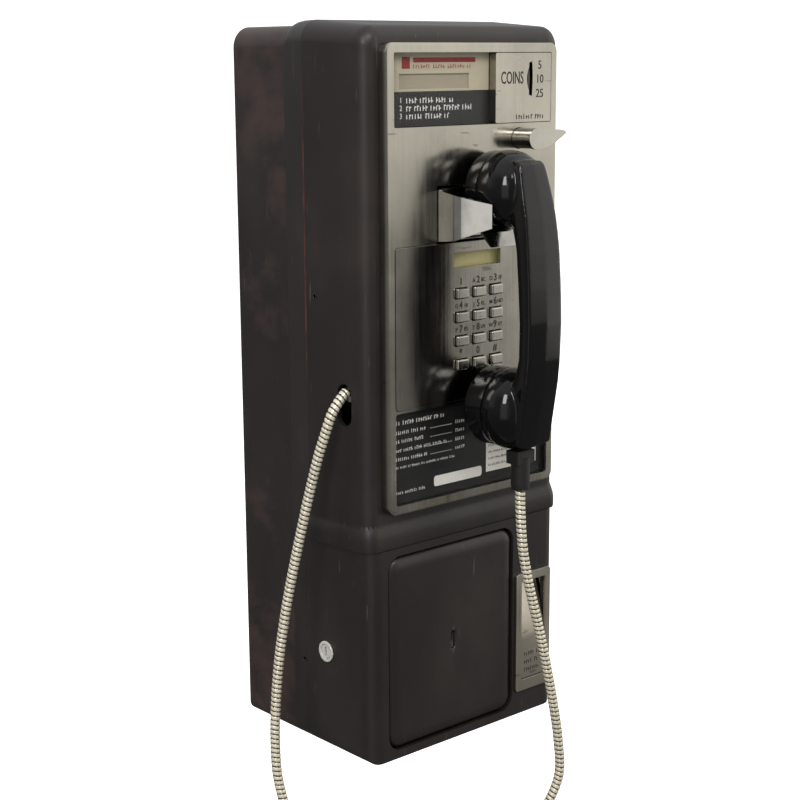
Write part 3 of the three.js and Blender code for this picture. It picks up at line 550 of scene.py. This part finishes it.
# Each dome's radius and Y, from the seam with its cap outwards.
EAR_DOME = [(0, -176.4), (26.6, -176.4), (27.3, -177.4), (27.5, -181), (27.3, -186), (26.6, -190),
            (25.2, -194), (23, -198), (20, -201.4), (16, -204.4), (11, -206.6), (0, -208.4)]
MOUTH_DOME = [(0, -184.4), (29, -184.4), (29.7, -185.4), (30, -189), (29.7, -193), (28.8, -197), (27, -201),
              (24.2, -204.6), (20.4, -207.8), (15, -210.2), (8, -211.6), (0, -212)]
# How far the handle's top rises, and its bottom tip drops, in the middle.
CROWN = 3.0
TIP_DROP = 0.0038
TIP_RISE = 0.25


def handle_ring(station):
    outer = np.array(station[0:2], float)
    inner = np.array(station[2:4], float)
    half = station[4]
    depth = float(np.linalg.norm(inner - outer))
    inward = (inner - outer) / depth
    side = [(0, -0.9), (0.5 * half, -0.4), (half - 1, 0.15), (half, 1.3), (half + 0.2, depth / 2),
            (half - 0.4, depth - 2.2), (half - 2.6, depth), (half / 2, depth), (0, depth)]
    ring = side + [(-x, deep) for x, deep in side[-2:0:-1]]
    return [((HANDSET_X + x) * MM, *((outer + inward * deep) * MM)) for x, deep in ring]


def cup(name, profile, z):
    return turned(name, profile, lambda u, w, y: (HANDSET_X + u, y, z + w), CUP_SIDES)


def join_meshes(name, meshes):
    work = bmesh.new()
    for mesh in meshes:
        work.from_mesh(mesh)
    joined = bpy.data.meshes.new(name)
    work.to_mesh(joined)
    work.free()
    joined.polygons.foreach_set("use_smooth", [True] * len(joined.polygons))
    return joined


def make_handset():
    """The handle and both cups are melted into one skin, then smoothed so that they flow together."""
    rings = [handle_ring(station) for station in HANDLE_STATIONS]
    tip = np.array(rings[-1])
    tip[:, 2] -= TIP_DROP - TIP_RISE * np.abs(tip[:, 0] - HANDSET_X * MM)
    crown = np.array(rings[0])
    crown[:, 2] += CROWN * MM * (1 - np.abs(crown[:, 0] / MM - HANDSET_X) / HANDLE_STATIONS[0][4])
    handle = loft("handle", [[tuple(p) for p in crown], *rings, [tuple(p) for p in tip]])
    cups = [cup("ear", EAR_DOME, EAR_Z), cup("mouth", MOUTH_DOME, MOUTH_Z)]
    shell = join_meshes("handset_shell", [handle, *cups])
    piece = new_object("handset_shell", shell, "handset")
    remesh = piece.modifiers.new("melt", "REMESH")
    remesh.mode = "VOXEL"
    remesh.voxel_size = VOXEL
    remesh.use_smooth_shade = True
    smooth = piece.modifiers.new("smooth", "SMOOTH")
    smooth.factor = 0.5
    smooth.iterations = MELT_PASSES
    piece.data.materials.append(GLOSS)
    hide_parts("handset_body")


make_handset()


# ---------------------------------------------------------------- plates with rounded outlines
def outline_ring(x0, x1, z0, z1, radius, y, steps=8):
    """A rounded rectangle in mm at one depth; every ring has matching points."""
    r = max(radius, 0.3)
    ring = []
    corners = ((x1 - r, z0 + r, -90), (x1 - r, z1 - r, 0), (x0 + r, z1 - r, 90), (x0 + r, z0 + r, 180))
    for cx, cz, start in corners:
        for k in range(steps + 1):
            a = math.radians(start + 90 * k / steps)
            ring.append(((cx + r * math.cos(a)) * MM, y * MM, (cz + r * math.sin(a)) * MM))
    return ring


def pillow_rings(box, radius, profile):
    x0, x1, z0, z1 = box
    return [outline_ring(x0 + d, x1 - d, z0 + d, z1 - d, radius - d, y) for d, y in profile]


DOOR_BOX = (-78.8, 48, -259.3, -110.9)
DOOR_RADIUS = 11.5
DOOR_FRONT = -150.6
# How far in from the outline, and Y, from the back edge to the flat front.
DOOR_PROFILE = [(3, -140.2), (0, -140.2), (0, -144.4), (0.4, -146.2), (1.4, -147.9), (3, -149.2),
                (5.4, -150.1), (8.2, -150.5), (10, DOOR_FRONT), (11.2, DOOR_FRONT)]
KEYHOLE = (-17.6, -13.2, -194, -180)
KEYHOLE_RADIUS = 2.2
# How far out from the keyhole, and Y, from the flat front to the bottom of the hole.
KEYHOLE_PROFILE = [(3, DOOR_FRONT), (1.2, DOOR_FRONT), (0.8, -150.55), (0.15, -150), (0, -148), (0, -147.6)]
RIM_MARGIN, RIM_RADIUS = 5, 7


def make_door():
    """A pressed door with a soft edge and a keyhole; extra rings keep its flat front evenly shaded."""
    rings = pillow_rings(DOOR_BOX, DOOR_RADIUS, DOOR_PROFILE)
    x0, x1, z0, z1 = KEYHOLE
    edge = np.array(rings[-1])
    around = (x0 - RIM_MARGIN, x1 + RIM_MARGIN, z0 - RIM_MARGIN, z1 + RIM_MARGIN)
    rim = np.array(outline_ring(*around, RIM_RADIUS, DOOR_FRONT))
    rings += [list(map(tuple, edge + share * (rim - edge))) for share in (0.1, 0.25, 0.5, 0.75, 1)]
    for grow, y in KEYHOLE_PROFILE:
        outline = (x0 - grow, x1 + grow, z0 - grow, z1 + grow)
        rings.append(outline_ring(*outline, KEYHOLE_RADIUS + grow, y))
    piece = new_object("door_skin", loft("door_skin", rings), "vault_door")
    piece.data.materials.append(PAINT)
    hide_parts("vault_door")


make_door()


# ---------------------------------------------------------------- printed and engraved marks
class Marks:
    """Thin flat pieces gathered into one mesh at one depth."""

    def __init__(self, name, material, y, body="phone"):
        self.name, self.material, self.y, self.body = name, material, y, body
        self.points, self.faces = [], []

    def polygon(self, points):
        start = len(self.points)
        self.faces.append(tuple(range(start, start + len(points))))
        self.points += points

    def quad(self, x0, x1, z0, z1):
        corners = ((x0, z0), (x1, z0), (x1, z1), (x0, z1))
        self.polygon([(x * MM, self.y * MM, z * MM) for x, z in corners])

    def words(self, x0, x1, z0, z1, rng, fill=1.0, glyph=0.62):
        """A line of text-like blocks: words made of small upright strokes."""
        height = z1 - z0
        pitch = height * glyph
        x = x0
        end = x0 + (x1 - x0) * fill
        while x < end - pitch:
            for _ in range(int(rng.integers(2, 8))):
                if x > end - pitch:
                    break
                self.quad(x, x + pitch * 0.3, z0, z0 + height * rng.uniform(0.7, 1))
                if rng.random() < 0.6:
                    level = z0 + height * rng.uniform(0.1, 0.75)
                    self.quad(x + pitch * 0.3, x + pitch * 0.75, level, level + height * 0.2)
                x += pitch
            x += pitch * 0.8

    def text(self, body_text, x, z, size, bold=0.0, squeeze=1.0):
        """Generic figures and letters, centred on a point."""
        curve = bpy.data.curves.new("glyphs", "FONT")
        curve.body = body_text
        curve.size = size * MM
        curve.align_x, curve.align_y = "CENTER", "CENTER"
        curve.offset = bold * MM
        curve.resolution_u = 3
        holder = bpy.data.objects.new("glyphs", curve)
        bpy.context.scene.collection.objects.link(holder)
        bpy.context.view_layer.update()
        shown = holder.evaluated_get(bpy.context.evaluated_depsgraph_get())
        mesh = bpy.data.meshes.new_from_object(shown)
        i = len(self.points)
        self.points += [(v.co.x * squeeze + x * MM, self.y * MM, v.co.y + z * MM) for v in mesh.vertices]
        self.faces += [tuple(i + k for k in face.vertices) for face in mesh.polygons]
        bpy.data.objects.remove(holder)
        bpy.data.curves.remove(curve)
        bpy.data.meshes.remove(mesh)

    def done(self):
        piece = new_object(self.name, mesh_from(self.name, self.points, self.faces, False), self.body)
        piece.data.materials.append(self.material)
        return piece


rng = np.random.default_rng(7)

card_red = Marks("card_red_bars", RED_INK, -150.0)
card_red.quad(-64, -56.5, 236.4, 244.4)
card_red.quad(-53.5, 6, 240.6, 244)
card_red.words(-53.5, 4, 236.4, 239.4, rng, 1.0, 0.8)
card_red.done()

card_white = Marks("card_white_lines", WHITE_INK, -150.0)
for row, (low, high, fill) in enumerate(((213, 217, 0.72), (207.6, 211.6, 1), (202.2, 206.2, 0.66))):
    card_white.text(str(row + 1), -65, (low + high) / 2, 5.2, 0.05, 0.9)
    card_white.words(-60, 6, low, high, rng, fill, 0.66)
card_white.done()

coin_ink = Marks("coin_plate_marks", DARK_INK, -156.82)
coin_ink.text("COINS", 36.7, 228.8, 12.4, 0.12, 0.62)
for figure, z in (("5", 238), ("10", 227.9), ("25", 217.6)):
    coin_ink.text(figure, 65.2, z, 8.6, 0.06, 0.95)
coin_ink.words(41, 71.5, 199.6, 203.2, rng, 1.0, 0.7)
coin_ink.done()

KEY_COLUMNS = (-14.5, 2.7, 20.1)
KEY_PITCH = 17.3
FIGURE_TOP = 77.6 + 8.4
KEY_FIGURES = ["1", "A2BC", "D3EF", "G4HI", "J5KL", "M6NO", "P7RS", "T8UV", "W9XY", "*", "0", "#"]
key_figures = Marks("key_figures", DARK_INK, -157.45)
for index, figure in enumerate(KEY_FIGURES):
    column = KEY_COLUMNS[index % 3]
    level = FIGURE_TOP - KEY_PITCH * (index // 3)
    digit = figure[1:2] or figure
    key_figures.text(digit, column, level, 7.2, 0.14, 0.9)
    if len(figure) > 1:
        key_figures.text(figure[0], column - 4.4, level - 0.4, 4.2, 0.05)
        key_figures.text(figure[2:], column + 5, level - 0.4, 4.2, 0.05, 0.85)
key_figures.done()

lower_ink = Marks("lower_card_lines", WHITE_INK, -152.15)
WHITE_PILL = (-36.6, 11.9, -63.3, -55.5)
PILL_RADIUS, PILL_Y = 2.2, -152.2
WHITE_PANEL = (16.5, 70, -61.5, -36)
DOTTED_ROWS = (-16.4, -22.8, -29.4, -35.8)
# Each line's top, height and right end.
LOWER_LINES = ((-9, 3.4, -25), (-16.4, 2.8, -44), (-22.8, 2.8, -46), (-29.4, 2.8, -22), (-35.8, 2.8, -42),
               (-42.4, 2, -14), (-60.6, 2.6, -42))
for z, high, end in LOWER_LINES:
    lower_ink.words(-73, end, z - high, z, rng, 1.0, 0.66)
for z in DOTTED_ROWS:
    for dash in np.arange(-40, -18, 2.2):
        lower_ink.quad(dash, dash + 1.3, z - 2.6, z - 2.2)
    lower_ink.words(-15, -4, z - 2.8, z, rng, 1.0, 0.7)
lower_ink.polygon(outline_ring(*WHITE_PILL, PILL_RADIUS, PILL_Y))
lower_ink.quad(*WHITE_PANEL)
lower_ink.done()

lower_dark = Marks("lower_card_dark", DARK_INK, -152.3)
for row in range(4):
    lower_dark.words(19, 67, -42.4 - row * 5, -40.4 - row * 5, rng, 1.0, 0.7)
lower_dark.done()

flap_ink = Marks("flap_lines", DARK_INK, -151.5, "return_flap")
for row in range(3):
    flap_ink.words(60.5, 79.5, -219.6 - row * 6.4, -216 - row * 6.4, rng, 1.0, 0.66)
flap_ink.done()


# ---------------------------------------------------------------- small fittings on the left side
RIVET_SIDES = 24
# A dark disc just inside each rim: painted shade for the hole.
RIVET_HOLE_SHADE = [(1.3, -0.12), (0, -0.12)]
SIDE_RIM = [(2.3, 0), (2.2, -0.35), (1.8, -0.5), (1.3, -0.35), (1.2, 0.3)]
RIVETS = (("side_rivet", -100.25, -96, 77.6), ("seam_rivet", -96.9, -72.6, -202.7))


def make_rivet(name, profile, material, x, y, z):
    mesh = turned(name, profile, lambda u, w, along: (x + along, y + u, z + w), RIVET_SIDES)
    new_object(name, mesh).data.materials.append(material)


for rivet, *place in RIVETS:
    make_rivet(rivet, SIDE_RIM, PAINT, *place)
    # Painted shade: a dark disc in the rivet's hole.
    make_rivet(rivet + "_hole_shade", RIVET_HOLE_SHADE, DARK_INK, *place)


# ---------------------------------------------------------------- stage and light
def stage_plane(name, size, matrix):
    """A pale plain sheet that only the camera sees, so that it throws no glare on the enamel."""
    half = size / 2
    corners = [(-half, -half, 0), (half, -half, 0), (half, half, 0), (-half, half, 0)]
    mesh = mesh_from(name, corners, [(0, 1, 2, 3)])
    piece = bpy.data.objects.new(name, mesh)
    bpy.context.scene.collection.objects.link(piece)
    piece.matrix_world = matrix
    n = Nodes(name + "_paint")
    n.to("Base Color", (0.9, 0.9, 0.9))
    n.to("Roughness", 0.9)
    n.to("Emission Color", (1.0, 1.0, 1.0))
    n.to("Emission Strength", 0.72)
    mesh.materials.append(n.material)
    piece.visible_glossy = False
    piece.visible_diffuse = False
    piece.visible_shadow = False
    piece.visible_transmission = False


def area_light(name, place, target, size, power, mirrored=True):
    data = bpy.data.lights.new(name, "AREA")
    data.shape = "RECTANGLE"
    data.size, data.size_y = size
    data.energy = power
    light = bpy.data.objects.new(name, data)
    bpy.context.scene.collection.objects.link(light)
    light.visible_glossy = mirrored
    light.location = place
    light.rotation_mode = "QUATERNION"
    light.rotation_quaternion = (Vector(place) - Vector(target)).to_track_quat("Z", "Y")


def studio_world():
    """A dim room with a bright wall on the right, a window on the left and a pale ceiling."""
    world = bpy.data.worlds.new("studio")
    bpy.context.scene.world = world
    world.use_nodes = True
    n = Nodes.__new__(Nodes)
    n.tree = world.node_tree
    n.coords = n.tree.nodes.new("ShaderNodeTexCoord")
    x, y, z = n.axes("Generated")
    back = n.math("MULTIPLY", y, -1.0)
    bearing = n.math("ARCTAN2", x, back)
    right_wall = n.product(n.value(bearing, 0.1, 0.5, smooth=True), n.value(bearing, 1.9, 1.4, smooth=True))
    upper = n.value(z, -0.13, -0.03, smooth=True)
    beside = n.product(n.value(bearing, 0.73, 0.88, smooth=True), n.value(z, -0.25, -0.19, smooth=True))
    wall = n.product(right_wall, n.math("MAXIMUM", upper, beside))
    window = n.product(n.value(bearing, -1.22, -1.02, smooth=True), n.value(bearing, -0.5, -0.8, smooth=True))
    window = n.product(window, n.value(z, -0.45, -0.25, smooth=True), n.value(z, 0.5, 0.3, smooth=True))
    ceiling = n.value(z, 0.45, 0.85, smooth=True)
    behind = n.product(n.value(y, -0.1, 0.4, smooth=True), n.value(z, 0.0, 0.2, smooth=True))
    low = n.value(z, -0.6, 0.3)
    dim = n.mix(low, (0.14, 0.137, 0.133), (0.27, 0.265, 0.255))
    shade = n.mix(n.product(behind, 0.7), dim, (0.8, 0.8, 0.83))
    shade = n.mix(n.product(ceiling, 0.8), shade, (1.0, 1.0, 1.0))
    shade = n.mix(n.product(window, 0.75), shade, (1.1, 1.08, 1.04))
    shade = n.mix(wall, shade, (1.36, 1.33, 1.25))
    n.link(shade, n.tree.nodes["Background"].inputs["Color"])
    n.tree.nodes["Background"].inputs["Strength"].default_value = 1.0


STAGE_SIZE = 30
stage_plane("floor", STAGE_SIZE, Matrix.Translation((0, 0, -0.75)))
upright = Matrix.Rotation(math.radians(90), 4, "X")
stage_plane("backdrop", STAGE_SIZE, Matrix.Translation((0, 3.0, 0)) @ upright)
studio_world()
area_light("key", (-0.5, -1.9, 1.7), (0, -0.1, 0), (0.7, 0.7), 18)
area_light("side", (-2.4, -0.9, 0.5), (0, -0.1, 0), (0.8, 1.6), 30, mirrored=False)
area_light("gleam", (-1.5, -1.3, 1.1), (0, -0.15, 0.1), (0.35, 0.9), 14)
bpy.context.scene.view_settings.view_transform = "Standard"
